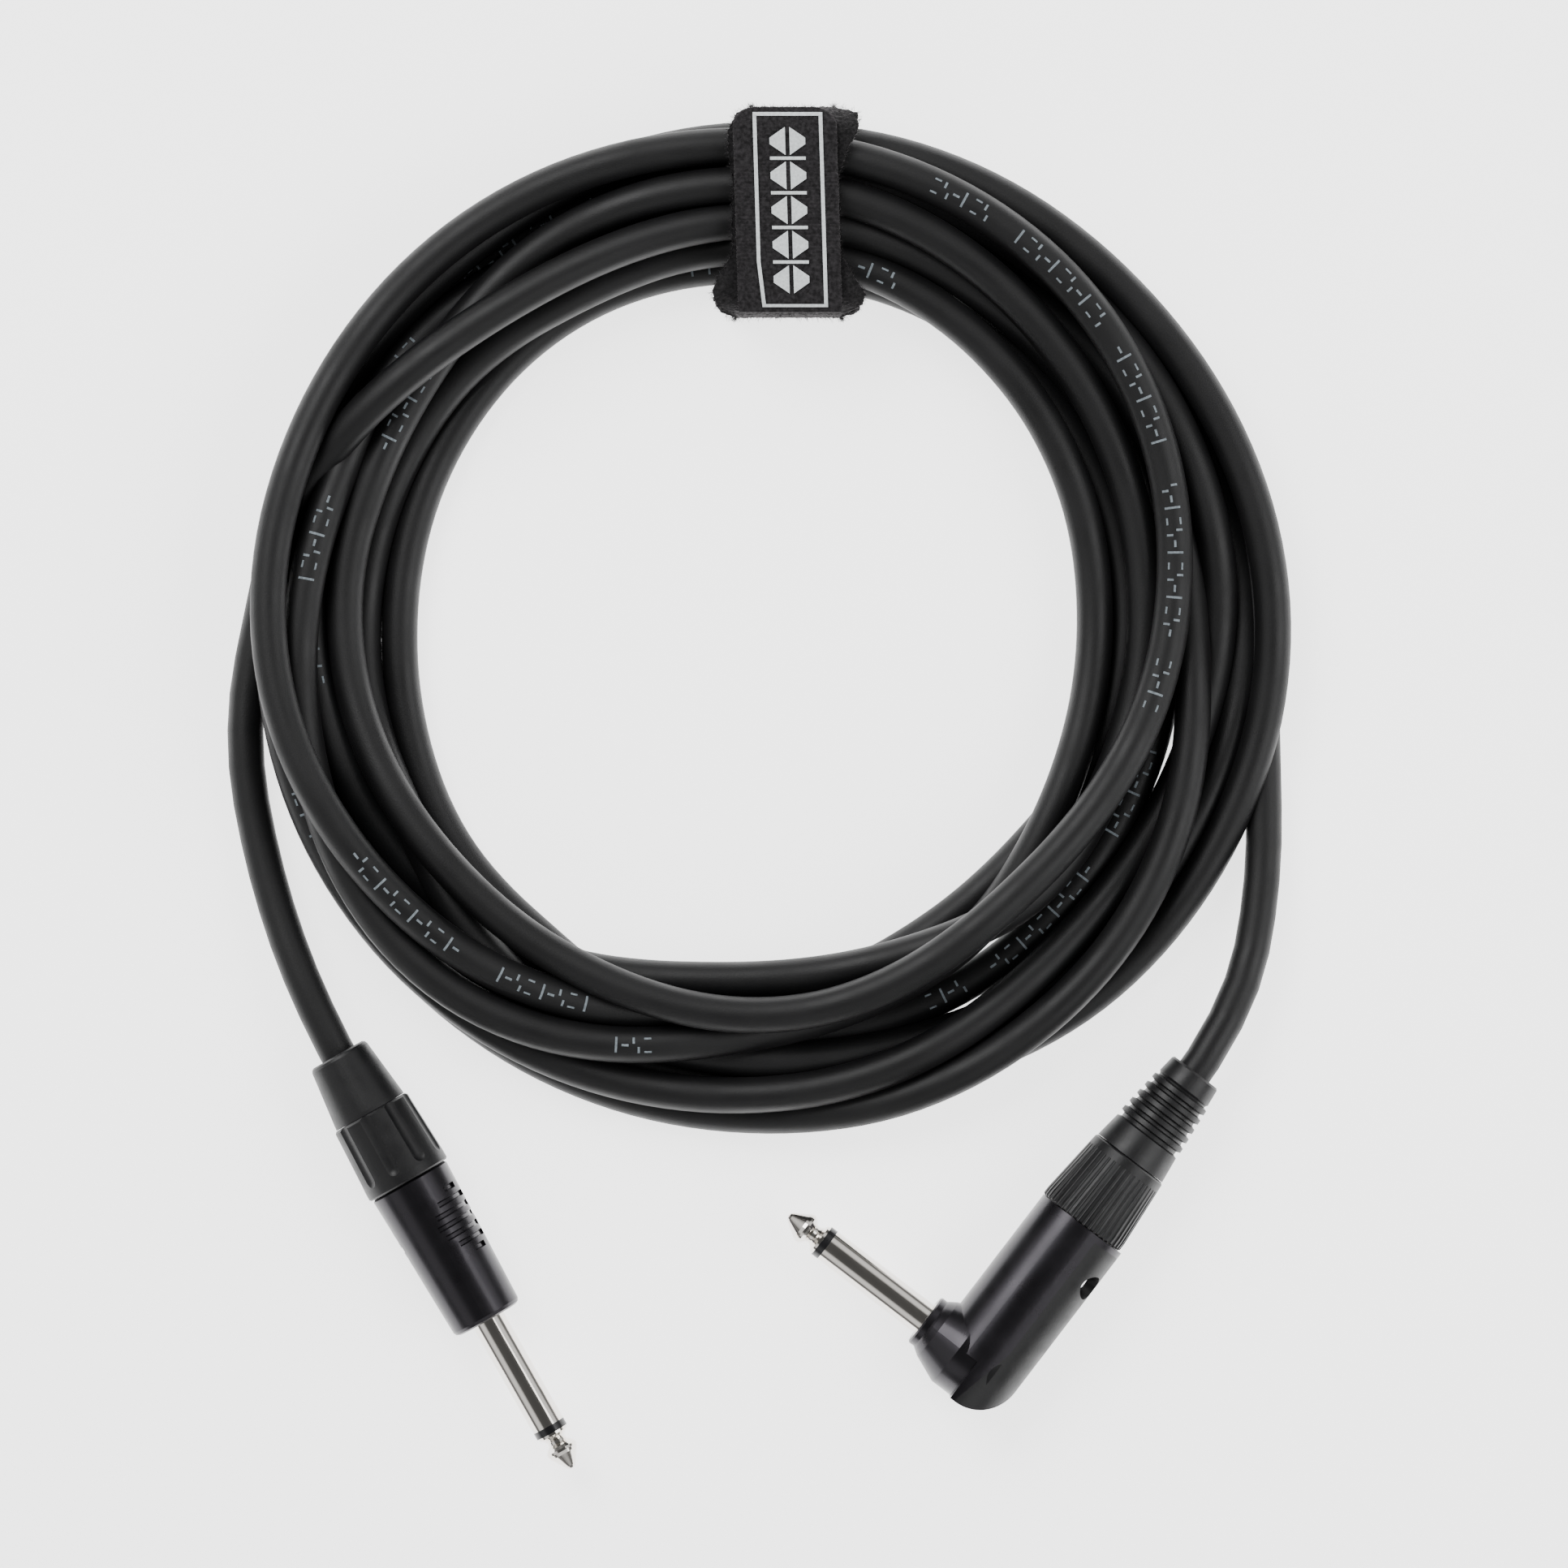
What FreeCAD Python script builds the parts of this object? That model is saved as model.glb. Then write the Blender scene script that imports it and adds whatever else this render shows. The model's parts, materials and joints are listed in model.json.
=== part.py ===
import FreeCAD, Part
import math
import os

# Instrument cable: a flexible lead with a straight 6.35 mm jack plug on one end and a right-angle
# one on the other, wound into a flat coil and held by a hook-and-loop tie.
# Millimetres, +Z up, floor at Z = 0.  The origin is the centre of the footprint of the two plugs
# and the tie.  Each plug is drawn in its own frame, +X from its boot's end towards the contact,
# with X = 0 at the boot's end and the cable's axis on X, and is then placed in the part's frame.

V = FreeCAD.Vector
X_AXIS, Y_AXIS, Z_AXIS = V(1, 0, 0), V(0, 1, 0), V(0, 0, 1)

# ---- driving dimensions: cable --------------------------------------------------------------
CABLE_D = 6.8
CORE_D = 2.4
SCREEN_D = 1.6
COIL_CENTRE = V(1.2, 29.3, 0)
COIL_OUTER = (97.6, 94.0)           # half widths along X and Y
COIL_INNER_R = 63.3
COIL_INNER_SHIFT = V(-4.8, 1.6, 0)
COIL_HEIGHT = 19.0
COIL_EDGE = 5.0                     # rounding of the coil's long edges
BUNDLE_CLEARANCE = 0.3              # cable bundle to the tie around it

# ---- driving dimensions: contacts (X = 0 at the housing's front face, +X to the tip) --------
PIN_R = 3.175                       # standard 6.35 mm plug
PIN_LENGTH = 32.0
RING_START, RING_END = 22.8, 24.2   # insulating ring between sleeve and tip
SLEEVE_BORE_R = 2.15
ROD_R = 1.4
SHANK_R = 3.6                       # sleeve inside the housing
FLANGE_R, FLANGE_FRONT, FLANGE_BACK = 4.7, -6.2, -8.0
TAG_THICKNESS = 0.6
REAR_INSULATOR_R = 5.2
REAR_INSULATOR_LENGTH = 3.0
LUG_LENGTH = 3.6

# ---- driving dimensions: shared by both cable glands ----------------------------------------
CORD_START = 6.5                    # the free cord begins this far inside the boot
BOOT_BORE_R = CABLE_D / 2 + 0.5
NUT_GAP = 0.1                       # nut to boot and nut to housing, axially
THREAD_GAP = 0.08                   # nut's thread to the housing's, radially
SPIGOT_GAP = 0.2                    # boot's neck in the nut, radially
CHUCK_SLOTS = 4
CHUCK_SLOT_WIDTH = 0.8

# ---- driving dimensions: straight plug ------------------------------------------------------
STRAIGHT_END = V(-79.6, -49.6, 8.3)
STRAIGHT_HEADING = -60.4            # degrees from +X
S_BOOT_LENGTH = 12.3
S_NUT_END = 27.0
S_SHELL_END = 56.8
S_NUT_R = (7.75, 8.3)
S_SHELL_R = (7.8, 6.9)
S_THREAD_R = 6.65
S_BORE_R = 5.8
S_JACKET_END = 31.5
FLUTES = 9
FLUTE_R, FLUTE_DEPTH = 2.25, 0.45
FLUTE_PHASE = 8.0                   # degrees from straight up to the first flute
FLUTE_STOP = 3.45                   # flute's last centre to the nut's front
GRIP_SIDES = (-55.0, 125.0)         # angles of the two grip fields round the shell, 0 = up
GRIP_SPANS = (13, 33, 45, 50, 45, 33, 13)
GRIP_START, GRIP_PITCH = 31.6, 2.05

# ---- driving dimensions: right-angle plug ---------------------------------------------------
ANGLE_END = V(80.5, -52.9, 8.9)
ANGLE_HEADING = 232.6
A_BOOT_LENGTH = 20.1
A_NUT_END = 35.3
A_PIN_X = 67.3                      # the contact's axis, along the body
A_FACE = 12.2                       # the contact's shoulder, out from the body's axis
A_BODY_R = 8.75
A_BACK = 9.5                        # the cover's crown, out from the body's axis
A_SEAM = 3.9                        # cover's joint line, behind the body's axis
A_SEAM_BEND_X = 62.5                # where the joint line turns towards the contact
A_CORNER = 8.4                      # rounding of the body's far end
BOSS_R, BOSS_CONE, BOSS_STEP = 8.35, 4.2, 10.8
COLLAR_R = 5.2
A_END_X = 75.7
A_NUT_R = (7.75, 8.9)
A_THREAD_R = 7.2
A_BORE_R = 5.9
A_CHAMBER_R = 6.6
A_JACKET_END = 39.0
KNURLS = 42
KNURL_R = 0.42
COVER_WALL = 1.6
COVER_CLEARANCE = 0.25              # cover to the pieces inside the body
HOLLOW_START = 49.3
SCREW_X, SCREW_Z = 43.9, 3.6
SCREW_R, SCREW_HEAD_R, SCREW_HEAD = 0.9, 1.7, 1.3
SCREW_SEAT = 6.0                    # screw seat, out from the body's axis
POCKET_R = 2.5

# ---- driving dimensions: tie ----------------------------------------------------------------
TIE_X = 3.9
TIE_INNER_Y, TIE_OUTER_Y = 87.9, 126.9
TIE_WIDTH = 21.0
TIE_THICKNESS = 1.2
TIE_TOP = 21.2
TIE_CORNER = 7.5
TAB_WIDTH, TAB_THICKNESS = 19.0, 1.1
TAB_FOLD_Y = 91.5                   # where the free end folds back when it is peeled
HOOK_LENGTH, HOOK_THICKNESS = 19.0, 0.6
TAB_GAP = 0.1
TAB_CORNER = 4.0


# ---- helpers --------------------------------------------------------------------------------
def turned(outline):
    """Solid of revolution about X from a closed list of (x, radius) corners."""
    corners = [V(x, 0, r) for x, r in outline]
    face = Part.Face(Part.makePolygon(corners + corners[:1]))
    return face.revolve(V(0, 0, 0), X_AXIS, 360)


def tube(x0, x1, outer, inner):
    return turned([(x0, inner), (x1, inner), (x1, outer), (x0, outer)])


def rod(x0, x1, radius):
    return Part.makeCylinder(radius, x1 - x0, V(x0, 0, 0), X_AXIS)


def centred_box(centre, size):
    corner = centre - V(*size) * 0.5
    return Part.makeBox(*size, corner)


def around_x(shape, degrees):
    turned_copy = shape.copy()
    turned_copy.rotate(V(0, 0, 0), X_AXIS, degrees)
    return turned_copy


def placed(shape, end, heading):
    """Moves a piece from its plug's frame to the part's frame."""
    moved = shape.copy()
    moved.rotate(V(0, 0, 0), Z_AXIS, heading)
    moved.translate(end)
    return moved


def rounded_path(points):
    """Straight runs joined by tangent arcs, each as large as its two runs allow."""
    edges, radii, last = [], [], points[0]
    for before, corner, after in zip(points, points[1:], points[2:]):
        back, ahead = before - corner, after - corner
        turn = math.pi - back.getAngle(ahead)
        reach = 0.45 * min(back.Length, ahead.Length)
        radii.append(reach / math.tan(turn / 2))
        back.normalize()
        ahead.normalize()
        middle = back + ahead
        middle.normalize()
        start, end = corner + back * reach, corner + ahead * reach
        depth = radii[-1] / math.cos(turn / 2) - radii[-1]
        edges.append(Part.LineSegment(last, start).toShape())
        edges.append(Part.Arc(start, corner + middle * depth, end).toShape())
        last = end
    edges.append(Part.LineSegment(last, points[-1]).toShape())
    return Part.Wire(edges), radii


def cord_tube(name, points, diameter):
    path, radii = rounded_path(points)
    section = Part.Wire(Part.makeCircle(diameter / 2, points[0], points[1] - points[0]))
    solid = path.makePipe(Part.Face(section))
    expected = math.pi * diameter ** 2 / 4 * path.Length
    print(name, "length", round(path.Length, 1), "radii", [round(r) for r in radii],
          "volume ratio", round(solid.Volume / expected, 4), "valid", solid.isValid())
    return solid


# ---- contact assembly, the same in both plugs -----------------------------------------------
def contact_tip():
    neck = [(RING_END, 2.95), (24.7, 2.9), (25.2, 2.2), (25.8, 1.75), (26.4, 1.85), (27.0, 2.5),
            (27.6, 2.98), (28.1, 3.0), (28.7, 2.75), (31.3, 1.05), (31.75, 0.7), (PIN_LENGTH, 0)]
    back = FLANGE_BACK - TAG_THICKNESS - REAR_INSULATOR_LENGTH - LUG_LENGTH + 1.2
    return turned([(back, 0), (back, ROD_R), (RING_END, ROD_R)] + neck)


def contact_sleeve():
    return turned([(FLANGE_BACK, SLEEVE_BORE_R), (RING_START, SLEEVE_BORE_R), (RING_START, PIN_R),
                   (0, PIN_R), (0, SHANK_R), (FLANGE_FRONT, SHANK_R), (FLANGE_FRONT, FLANGE_R),
                   (FLANGE_BACK, FLANGE_R)])


def tip_ring():
    return tube(RING_START, RING_END, PIN_R, ROD_R)


def inner_insulator():
    return tube(FLANGE_BACK - TAG_THICKNESS, RING_START, SLEEVE_BORE_R, ROD_R)


def rear_insulator():
    front = FLANGE_BACK - TAG_THICKNESS
    back = front - REAR_INSULATOR_LENGTH
    block = tube(back, front, REAR_INSULATOR_R, ROD_R)
    flat = centred_box(V((front + back) / 2, 0, -REAR_INSULATOR_R), (4, 12, 2.2))
    return block.cut(flat)


def tip_lug():
    """Solder cup riveted on the rod's end."""
    front = FLANGE_BACK - TAG_THICKNESS - REAR_INSULATOR_LENGTH
    washer = tube(front - 0.8, front, 2.6, ROD_R)
    cup = tube(front - LUG_LENGTH, front - 0.8, 2.2, ROD_R)
    opening = centred_box(V(front - LUG_LENGTH, 0, 2), (3.6, 6, 3))
    return washer.fuse(cup.cut(opening)).removeSplitter()


def ground_tag(reach):
    """Ring round the sleeve's back face, with a solder tail that passes the rear insulator."""
    front, back = FLANGE_BACK, FLANGE_BACK - TAG_THICKNESS
    ring = tube(back, front, FLANGE_R, SLEEVE_BORE_R)
    tail_z = -REAR_INSULATOR_R + 0.6
    step = centred_box(V((front + back) / 2, 0, (tail_z - FLANGE_R) / 2 + 0.9), (TAG_THICKNESS, 4, 1.6))
    tail = centred_box(V(front - reach / 2, 0, tail_z), (reach, 4, TAG_THICKNESS))
    hole = Part.makeCylinder(0.8, 2, V(front - reach + 1.8, 0, tail_z - 1), Z_AXIS)
    return ring.fuse([step, tail]).cut(hole).removeSplitter()


CONTACT_PIECES = {
    "tip_contact": contact_tip,
    "sleeve_contact": contact_sleeve,
    "tip_ring": tip_ring,
    "inner_insulator": inner_insulator,
    "rear_insulator": rear_insulator,
    "tip_lug": tip_lug,
}


# ---- cable gland, the same idea in both plugs -----------------------------------------------
def chuck(start, end, outer):
    """Slotted collet that the nut squeezes on the jacket."""
    body = turned([(start, CABLE_D / 2), (end, CABLE_D / 2), (end, outer), (start + 3, outer),
                   (start, outer - 1.2)])
    slot = centred_box(V(start, 0, 0), (14, 2 * outer + 2, CHUCK_SLOT_WIDTH))
    for index in range(CHUCK_SLOTS // 2):
        body = body.cut(around_x(slot, 360 / CHUCK_SLOTS * index))
    return body


def gland_nut(start, end, radii, neck_r, thread_r):
    """Plain nut: a rear wall that holds the boot's flange, a cavity and the threaded skirt."""
    wall_end, cavity_end = start + 2.6, end - 8.0
    cavity_r = neck_r + 0.9
    return turned([(start, neck_r + SPIGOT_GAP), (wall_end, neck_r + SPIGOT_GAP),
                   (wall_end, cavity_r), (cavity_end, cavity_r),
                   (cavity_end, thread_r + THREAD_GAP), (end, thread_r + THREAD_GAP),
                   (end, radii[1] - 0.3), (end - 0.3, radii[1]), (end - 1.6, radii[1]),
                   (start + 0.4, radii[0]), (start, radii[0] - 0.4)])


def boot_inside(length, neck_r):
    """Corners of the boot's neck and flange, which the nut holds, and of its bore."""
    return [(length, neck_r), (length + 2.8, neck_r), (length + 2.8, neck_r + 0.6),
            (length + 3.8, neck_r + 0.6), (length + 3.8, BOOT_BORE_R), (0, BOOT_BORE_R)]


# ---- straight plug --------------------------------------------------------------------------
def straight_boot():
    return turned([(0, BOOT_BORE_R + 0.4), (0, 5.2), (0.3, 5.65), (0.8, 5.9), (11.6, 7.15),
                   (S_BOOT_LENGTH, 7.2)] + boot_inside(S_BOOT_LENGTH, 5.4))


def straight_gland_nut():
    start, end = S_BOOT_LENGTH + NUT_GAP, S_NUT_END - NUT_GAP
    nut = gland_nut(start, end, S_NUT_R, 5.4, S_THREAD_R)
    lift = FLUTE_R - FLUTE_DEPTH
    first = V(start - 1, 0, S_NUT_R[0] + lift)
    last = V(end - FLUTE_STOP, 0, S_NUT_R[1] + lift - 0.05)
    flute = Part.makeCylinder(FLUTE_R, (last - first).Length, first, last - first)
    flute = flute.fuse(Part.makeSphere(FLUTE_R, last))
    flutes = [around_x(flute, FLUTE_PHASE + 360 / FLUTES * index) for index in range(FLUTES)]
    return nut.cut(flutes)


def straight_shell():
    rear_r, front_r = S_SHELL_R
    thread_start, seat = S_NUT_END - 7.0, S_SHELL_END + FLANGE_FRONT
    shell = turned([(thread_start, S_BORE_R), (seat, S_BORE_R), (seat, SHANK_R), (S_SHELL_END, SHANK_R),
                    (S_SHELL_END, front_r - 0.9), (S_SHELL_END - 0.3, front_r - 0.3),
                    (S_SHELL_END - 0.9, front_r), (S_NUT_END + 0.4, rear_r), (S_NUT_END, rear_r - 0.4),
                    (S_NUT_END, S_THREAD_R), (thread_start, S_THREAD_R)])
    grooves = []
    for row, span in enumerate(GRIP_SPANS):
        x = GRIP_START + GRIP_PITCH * row
        surface = rear_r + (front_r - rear_r) * (x - S_NUT_END) / (S_SHELL_END - S_NUT_END)
        outline = [V(x - 0.55, 0, surface + 1), V(x - 0.55, 0, surface - 0.25),
                   V(x - 0.3, 0, surface - 0.5), V(x + 0.3, 0, surface - 0.5),
                   V(x + 0.55, 0, surface - 0.25), V(x + 0.55, 0, surface + 1)]
        section = Part.Face(Part.makePolygon(outline + outline[:1]))
        for side in GRIP_SIDES:
            groove = section.copy()
            groove.rotate(V(0, 0, 0), X_AXIS, side - span)
            grooves.append(groove.revolve(V(0, 0, 0), X_AXIS, 2 * span))
    return shell.cut(grooves)


def straight_pieces():
    pieces = {"straight_" + name: make() for name, make in CONTACT_PIECES.items()}
    pieces["straight_ground_tag"] = ground_tag(12.5)
    for piece in pieces.values():
        piece.translate(V(S_SHELL_END, 0, 0))
    lug_back = S_SHELL_END + FLANGE_BACK - TAG_THICKNESS - REAR_INSULATOR_LENGTH - LUG_LENGTH
    tag_end = S_SHELL_END + FLANGE_BACK - 12.5
    pieces["straight_boot"] = straight_boot()
    pieces["straight_gland_nut"] = straight_gland_nut()
    pieces["straight_shell"] = straight_shell()
    pieces["straight_chuck"] = chuck(S_BOOT_LENGTH + 4.6, 32.0, S_BORE_R - 0.05)
    pieces["straight_cable_end"] = rod(CORD_START, S_JACKET_END, CABLE_D / 2)
    pieces["straight_core_wire"] = rod(S_JACKET_END, lug_back + 0.9, CORE_D / 2)
    pieces["straight_screen_wire"] = cord_tube("straight_screen_wire", [
        V(S_JACKET_END, 0, -2.4), V(S_JACKET_END + 2.5, 0, -2.4),
        V(tag_end - 1.0, 0, -3.5), V(tag_end + 2.0, 0, -3.5)], SCREEN_D)
    return pieces


# ---- right-angle plug -----------------------------------------------------------------------
def angle_boot():
    outline = [(0, BOOT_BORE_R + 0.4), (0, 4.9), (0.4, 5.25), (3.6, 5.6), (4.0, 5.3)]
    for ring in range(5):
        x, r = 4.3 + 2.05 * ring, 6.0 + 0.2 * ring
        outline += [(x, r - 0.75), (x + 0.3, r), (x + 1.2, r + 0.05), (x + 1.5, r - 0.7)]
    outline += [(14.7, 6.1), (15.0, 6.85), (A_BOOT_LENGTH, 7.5)]
    return turned(outline + boot_inside(A_BOOT_LENGTH, 5.5))


def angle_gland_nut():
    start, end = A_BOOT_LENGTH + NUT_GAP, A_NUT_END - NUT_GAP
    nut = gland_nut(start, end, A_NUT_R, 5.5, A_THREAD_R)
    first = V(start + 2.0, 0, A_NUT_R[0] + 0.45)
    last = V(end + 0.5, 0, A_NUT_R[1] + 0.14)
    knurl = Part.makeCylinder(KNURL_R, (last - first).Length, first, last - first)
    return nut.cut([around_x(knurl, 360 / KNURLS * index) for index in range(KNURLS)])


def angle_envelope():
    """Outside of body and cover together: a barrel with an oval back, cut round at its far end."""
    barrel = Part.makeCylinder(A_BODY_R, A_END_X - A_NUT_END, V(A_NUT_END, 0, 0), X_AXIS)
    oval = Part.makeCylinder(1, A_END_X - A_NUT_END, V(A_NUT_END, 0, 0), X_AXIS)
    stretch = FreeCAD.Matrix()
    stretch.scale(V(1, A_BACK, A_BODY_R))
    oval = oval.transformGeometry(stretch)
    reach = A_END_X - A_NUT_END + 2
    back_half = Part.makeBox(reach, A_BACK + 1, 2 * A_BODY_R + 2, V(A_NUT_END - 1, 0, -A_BODY_R - 1))
    barrel = barrel.cut(back_half).fuse(oval.common(back_half))
    keep = Part.makeBox(A_END_X - A_NUT_END, 2 * A_BACK + 8, 2 * A_BODY_R + 2,
                        V(A_NUT_END, -A_BACK - 8 + 0.001, -A_BODY_R - 1))
    upright = [edge for edge in keep.Edges
               if abs(edge.Vertexes[0].X - A_END_X) < 1e-6 and abs(edge.Vertexes[1].X - A_END_X) < 1e-6
               and abs(edge.Vertexes[0].Y - edge.Vertexes[1].Y) < 1e-6 and edge.Vertexes[0].Y > 0]
    keep = keep.makeFillet(A_CORNER, upright)
    boss = turned([(-A_SEAM, 0), (-A_SEAM, BOSS_R), (BOSS_CONE, BOSS_R), (BOSS_STEP - 1.6, 6.3),
                   (BOSS_STEP - 0.4, 5.5), (BOSS_STEP, COLLAR_R), (A_FACE - 0.3, COLLAR_R),
                   (A_FACE, COLLAR_R - 0.3), (A_FACE, 0)])
    boss.rotate(V(0, 0, 0), Z_AXIS, -90)
    boss.translate(V(A_PIN_X, 0, 0))
    front = Part.makeBox(A_PIN_X - A_NUT_END, A_BODY_R + A_SEAM + 1, 2 * A_BODY_R + 2,
                         V(A_NUT_END, -A_BODY_R - 1, -A_BODY_R - 1))
    back = Part.makeBox(A_END_X - A_NUT_END, A_BACK + 1, 2 * A_BODY_R + 2, V(A_NUT_END, 0, -A_BODY_R - 1))
    return barrel.common(keep).common(front.fuse(back)).fuse(boss).removeSplitter()


def cover_region():
    """Prism on the cover's side of the seam, which bends towards the contact at the far end."""
    z = A_BODY_R + 1
    start, far = A_NUT_END + 1.2, A_END_X + 2
    corners = [V(start, A_SEAM, -z), V(A_SEAM_BEND_X, A_SEAM, -z), V(far, 0.4, -z),
               V(far, A_BACK + 2, -z), V(start, A_BACK + 2, -z)]
    face = Part.Face(Part.makePolygon(corners + corners[:1]))
    return face.extrude(V(0, 0, 2 * z))


def angle_cavity(extra):
    """Room inside for the cable's end and the back of the contact."""
    bore = rod(A_NUT_END - 9, A_PIN_X, A_BORE_R + extra)
    chamber = Part.makeCylinder(A_CHAMBER_R + extra, A_SEAM + A_FACE + FLANGE_FRONT,
                                V(A_PIN_X, A_SEAM, 0), -Y_AXIS)
    return bore.fuse(chamber)


def screw_hole(radius, start, end):
    return Part.makeCylinder(radius, end - start, V(SCREW_X, start, SCREW_Z), Y_AXIS)


def angle_body():
    spigot = tube(A_NUT_END - 7.2, A_NUT_END + 0.5, A_THREAD_R, A_BORE_R)
    body = angle_envelope().cut(cover_region()).fuse(spigot)
    body = body.cut(angle_cavity(0))
    shank_hole = Part.makeCylinder(SHANK_R, 8, V(A_PIN_X, 0, 0), -Y_AXIS)
    shank_hole.translate(V(0, -(A_FACE + FLANGE_FRONT) + 0.5, 0))
    post = centred_box(V(SCREW_X, A_SEAM - 2.4, SCREW_Z + 1.0), (4.6, 4.6, 4.6))
    post = post.common(rod(A_NUT_END, A_PIN_X, A_BORE_R + 0.3))
    body = body.cut(shank_hole).fuse(post)
    return body.cut(screw_hole(SCREW_R + 0.08, -6, A_SEAM + 1)).removeSplitter()


def angle_back_cover():
    cover = angle_envelope().common(cover_region())
    hollow = rod(HOLLOW_START, A_PIN_X, A_BODY_R - COVER_WALL)
    cover = cover.cut(cover_region().common(angle_cavity(COVER_CLEARANCE).fuse(hollow)))
    post = Part.makeCylinder(POCKET_R + 0.9, SCREW_SEAT - A_SEAM - 0.1,
                             V(SCREW_X, A_SEAM + 0.1, SCREW_Z), Y_AXIS)
    cover = cover.fuse(post.common(angle_envelope()))
    cover = cover.cut(screw_hole(POCKET_R, SCREW_SEAT, A_BACK + 3))
    cover = cover.cut(screw_hole(SCREW_R + 0.08, A_SEAM - 1, A_BACK + 1))
    return cover.removeSplitter()


def angle_cover_screw():
    shank = screw_hole(SCREW_R, -1.5, SCREW_SEAT + 0.1)
    head = turned([(0.05, 0), (0.05, SCREW_HEAD_R), (0.5, SCREW_HEAD_R), (0.9, 1.45), (1.15, 1.05),
                   (SCREW_HEAD, 0)])
    head.rotate(V(0, 0, 0), Z_AXIS, 90)
    head.translate(V(SCREW_X, SCREW_SEAT, SCREW_Z))
    for turn in (0, 90):
        slot = Part.makeBox(2.0, 0.7, 0.4, V(-1.0, 0.75, -0.2))
        slot.rotate(V(0, 0, 0), Y_AXIS, turn)
        slot.translate(V(SCREW_X, SCREW_SEAT, SCREW_Z))
        head = head.cut(slot)
    return head.fuse(shank).removeSplitter()


def angle_pieces():
    pieces = {"angle_" + name: make() for name, make in CONTACT_PIECES.items()}
    pieces["angle_ground_tag"] = ground_tag(5.8)
    for piece in pieces.values():
        piece.rotate(V(0, 0, 0), Z_AXIS, -90)
        piece.translate(V(A_PIN_X, -A_FACE, 0))
    lug_y = -A_FACE - (FLANGE_BACK - TAG_THICKNESS - REAR_INSULATOR_LENGTH - LUG_LENGTH)
    pieces["angle_boot"] = angle_boot()
    pieces["angle_gland_nut"] = angle_gland_nut()
    pieces["angle_body"] = angle_body()
    pieces["angle_back_cover"] = angle_back_cover()
    pieces["angle_cover_screw"] = angle_cover_screw()
    pieces["angle_chuck"] = chuck(A_BOOT_LENGTH + 4.6, A_JACKET_END + 0.5, A_BORE_R - 0.05)
    pieces["angle_cable_end"] = rod(CORD_START, A_JACKET_END, CABLE_D / 2)
    pieces["angle_core_wire"] = cord_tube("angle_core_wire", [
        V(A_JACKET_END, 0, 0), V(A_JACKET_END + 9, 0, 0), V(A_PIN_X - 8, lug_y - 1.2, 0.4),
        V(A_PIN_X - 2.3, lug_y - 1.2, 0.4)], CORE_D)
    pieces["angle_screen_wire"] = cord_tube("angle_screen_wire", [
        V(A_JACKET_END, 0, -2.3), V(A_JACKET_END + 8, 0, -2.3), V(A_PIN_X - 9, 0.6, -4.6),
        V(A_PIN_X - 2.0, 0.6, -4.6)], SCREEN_D)
    return pieces


# ---- tie ------------------------------------------------------------------------------------
def upright_slab(y0, y1, z0, z1, width, corner):
    """Block of the given width along X, its four long edges rounded."""
    slab = Part.makeBox(width, y1 - y0, z1 - z0, V(TIE_X - width / 2, y0, z0))
    if corner <= 0:
        return slab
    long_edges = [edge for edge in slab.Edges
                  if abs(edge.Vertexes[0].X - edge.Vertexes[1].X) > width / 2]
    return slab.makeFillet(corner, long_edges)


def tie_opening(width, gap):
    wall = TIE_THICKNESS + gap
    return upright_slab(TIE_INNER_Y + wall, TIE_OUTER_Y - wall, wall, TIE_TOP - wall, width,
                        TIE_CORNER - wall)


def tie_strap():
    outside = upright_slab(TIE_INNER_Y, TIE_OUTER_Y, 0, TIE_TOP, TIE_WIDTH, TIE_CORNER)
    return outside.cut(tie_opening(TIE_WIDTH + 2, 0))


def tie_tab():
    length = TIE_OUTER_Y - TIE_CORNER * 0.45 - TAB_FOLD_Y
    base = TIE_TOP + TAB_GAP + HOOK_THICKNESS
    left = TIE_X - TAB_WIDTH / 2
    tab = Part.makeBox(TAB_WIDTH, length, TAB_THICKNESS, V(left, TAB_FOLD_Y, base))
    ends = [edge for edge in tab.Edges
            if abs(edge.Vertexes[0].Z - edge.Vertexes[1].Z) > TAB_THICKNESS / 2
            and edge.Vertexes[0].Y > TAB_FOLD_Y + 1]
    tab = tab.makeFillet(TAB_CORNER, ends)
    fold = Part.makeCylinder(TAB_THICKNESS / 2, TAB_WIDTH, V(left, TAB_FOLD_Y, base + TAB_THICKNESS / 2),
                             X_AXIS)
    return tab.fuse(fold).removeSplitter()


def tie_hook_patch():
    start = TIE_OUTER_Y - TIE_CORNER - HOOK_LENGTH
    return Part.makeBox(TAB_WIDTH - 1.0, HOOK_LENGTH, HOOK_THICKNESS,
                        V(TIE_X - (TAB_WIDTH - 1.0) / 2, start, TIE_TOP + TAB_GAP))


# ---- cable ----------------------------------------------------------------------------------
def cord_coil():
    """Outer shape of the wound turns, pressed in where the tie holds them."""
    outer = Part.Wire(Part.Ellipse(COIL_CENTRE, *COIL_OUTER).toShape())
    inner = Part.Wire(Part.makeCircle(COIL_INNER_R, COIL_CENTRE + COIL_INNER_SHIFT))
    height = V(0, 0, COIL_HEIGHT)
    outside = Part.Face(outer).extrude(height)
    outside = outside.makeFillet(COIL_EDGE, outside.Edges[:3])
    hole = Part.Face(inner).extrude(height)
    ring = outside.cut(hole)
    reach = TIE_OUTER_Y - TIE_INNER_Y + 20
    width = TIE_WIDTH + 2 * BUNDLE_CLEARANCE
    slab = Part.makeBox(width, reach, 40, V(TIE_X - width / 2, TIE_INNER_Y - 10, -10))
    return ring.cut(slab.cut(tie_opening(width + 2, BUNDLE_CLEARANCE)))


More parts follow.
